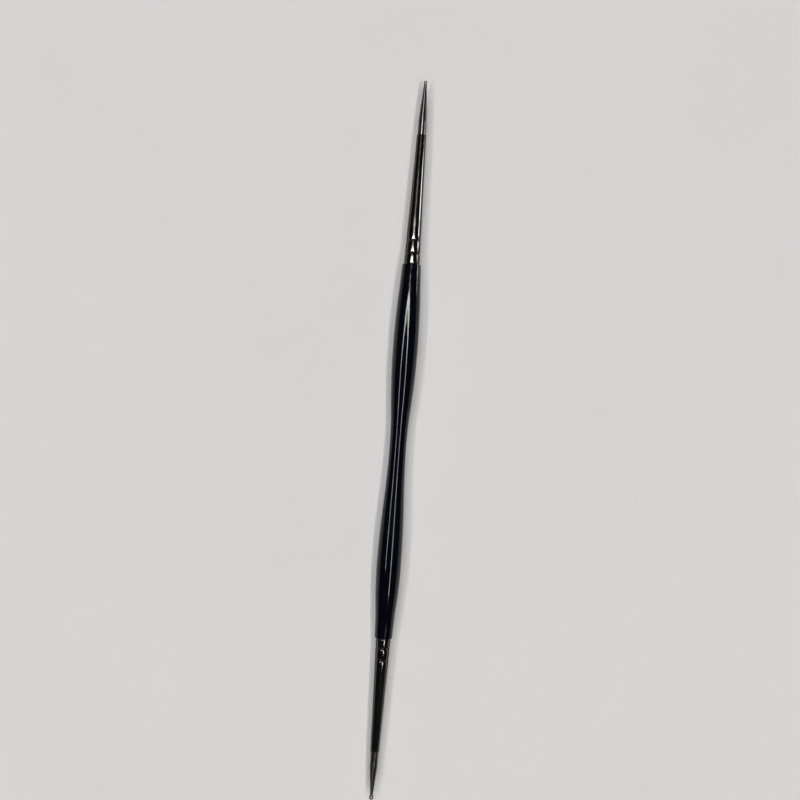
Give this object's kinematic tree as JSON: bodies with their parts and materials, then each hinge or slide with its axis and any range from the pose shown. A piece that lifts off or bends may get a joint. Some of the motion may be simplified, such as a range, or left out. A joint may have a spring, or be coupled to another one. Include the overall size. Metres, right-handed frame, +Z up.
{
  "type": "embossing stylus",
  "caption": "Double-ended embossing stylus: a turned, lacquered handle with two swells and a waist, crimped tapered ferrules, and a fine and a broad steel ball tip.",
  "frame": {"origin": "on the surface that the tool lies on, under the middle of its overall length", "axes": "+X along the tool towards the fine ball, +Z up from the surface, +Y to the left when looking towards the fine ball"},
  "size_m": [0.1998, 0.007, 0.0069],
  "materials": {
    "handle_lacquer": "turned wood under high-gloss navy-black lacquer",
    "ferrule_plate": "polished dark nickel plate on drawn tube",
    "tip_steel": "ground and polished steel rod, darkened by handling",
    "cement": "cured cement, dull"
  },
  "bodies": {
    "root": {"handle": "handle_lacquer", "ferrule_fine": "ferrule_plate", "ferrule_broad": "ferrule_plate", "tip_fine": "tip_steel", "tip_broad": "tip_steel", "adhesive_fine": "cement", "adhesive_broad": "cement"}
  },
  "joints": []
}
